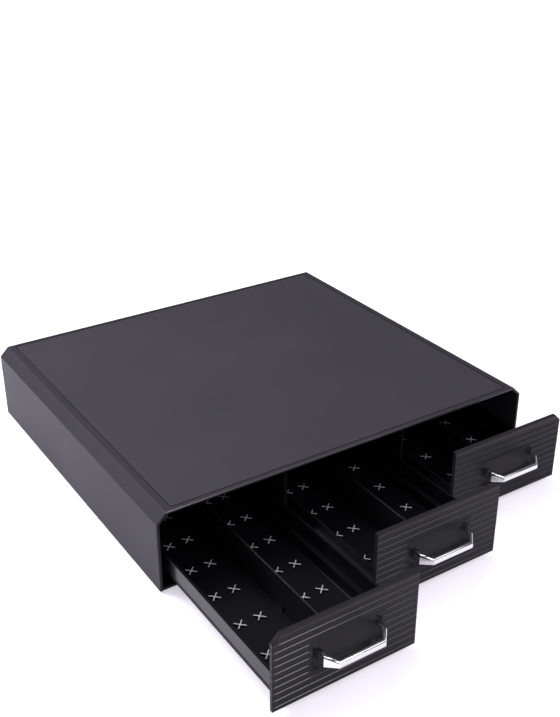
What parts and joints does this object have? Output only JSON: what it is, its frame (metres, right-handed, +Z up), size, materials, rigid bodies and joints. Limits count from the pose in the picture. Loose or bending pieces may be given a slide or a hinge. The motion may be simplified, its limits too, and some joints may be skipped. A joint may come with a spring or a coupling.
{
  "type": "coffee pod drawer",
  "caption": "Low black countertop organiser for coffee pods: chamfered casing with side-by-side sliding drawers, grooved fronts with chrome pulls, and a flat top for a machine.",
  "frame": {"origin": "on the surface the feet stand on, midway in X across the casing and midway in Y over the whole length with the drawers as pictured", "axes": "+X to the right across the front, +Y from the drawer fronts to the back, +Z up"},
  "size_m": [0.345, 0.469, 0.0667],
  "materials": {
    "casing_plastic": "fine-textured satin black moulding",
    "inlay": "matte black sheet with a fine grain",
    "inner_plastic": "plain black moulding",
    "fascia_plastic": "satin black with fine horizontal grooves",
    "tray_plastic": "satin black moulding",
    "chrome": "bright bevelled pull",
    "screw_steel": "plated pan-head screws",
    "foot_rubber": "black rubber disc"
  },
  "bodies": {
    "casing": {"casing_shell": "casing_plastic", "top_inlay": "inlay", "back_panel": "inner_plastic", "base_plate": "inner_plastic", "partition_left": "inner_plastic", "partition_right": "inner_plastic", "foot_front_left": "foot_rubber", "foot_front_right": "foot_rubber", "foot_rear_left": "foot_rubber", "foot_rear_right": "foot_rubber", "base_screws": "screw_steel", "back_screws": "screw_steel"},
    "left_drawer": {"left_fascia": "fascia_plastic", "left_tray": "tray_plastic", "left_divider": "tray_plastic", "left_handle": "chrome", "left_fascia_screws": "screw_steel", "left_handle_screws": "screw_steel"},
    "middle_drawer": {"middle_fascia": "fascia_plastic", "middle_tray": "tray_plastic", "middle_divider": "tray_plastic", "middle_handle": "chrome", "middle_fascia_screws": "screw_steel", "middle_handle_screws": "screw_steel"},
    "right_drawer": {"right_fascia": "fascia_plastic", "right_tray": "tray_plastic", "right_divider": "tray_plastic", "right_handle": "chrome", "right_fascia_screws": "screw_steel", "right_handle_screws": "screw_steel"}
  },
  "joints": [
    {"name": "left_drawer_slide", "type": "slide", "parent": "casing", "child": "left_drawer", "axis": [0, -1, 0], "range_m": [-0.1425, 0.0675]},
    {"name": "middle_drawer_slide", "type": "slide", "parent": "casing", "child": "middle_drawer", "axis": [0, -1, 0], "range_m": [-0.0973, 0.1127]},
    {"name": "right_drawer_slide", "type": "slide", "parent": "casing", "child": "right_drawer", "axis": [0, -1, 0], "range_m": [-0.0485, 0.1615]}
  ]
}
